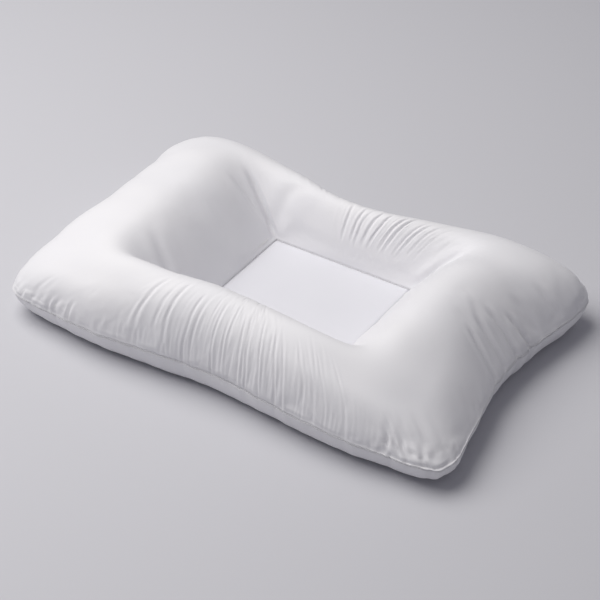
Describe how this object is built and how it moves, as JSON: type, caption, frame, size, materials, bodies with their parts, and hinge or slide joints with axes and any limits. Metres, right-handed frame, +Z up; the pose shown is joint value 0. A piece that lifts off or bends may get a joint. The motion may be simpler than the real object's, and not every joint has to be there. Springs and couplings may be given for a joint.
{
  "type": "neck support pillow",
  "caption": "Fibre-filled rectangular neck pillow with raised rolls of different height round a flat sunken head cradle.",
  "frame": {"origin": "on the floor under the middle of the pillow's outline", "axes": "+X along the pillow's length, +Y towards the back edge behind the lower neck roll, +Z up"},
  "size_m": [0.6022, 0.3882, 0.1187],
  "materials": {
    "cover_fabric": "white cotton-polyester percale, plain woven, satin-like",
    "sewing_thread": "white spun polyester thread",
    "baffle_fabric": "white nonwoven lining, matt",
    "fibre_fill": "loose white polyester fibre"
  },
  "bodies": {
    "root": {"top_ring_panel": "cover_fabric", "cradle_panel": "cover_fabric", "bottom_panel": "cover_fabric", "perimeter_seam_thread": "sewing_thread", "closing_seam_thread": "sewing_thread", "cradle_seam_thread": "sewing_thread", "base_seam_thread": "sewing_thread", "baffle_front": "baffle_fabric", "baffle_back": "baffle_fabric", "baffle_left": "baffle_fabric", "baffle_right": "baffle_fabric", "fill_front_roll": "fibre_fill", "fill_back_roll": "fibre_fill", "fill_left_lobe": "fibre_fill", "fill_right_lobe": "fibre_fill", "cradle_fill_pad": "fibre_fill"}
  },
  "joints": []
}
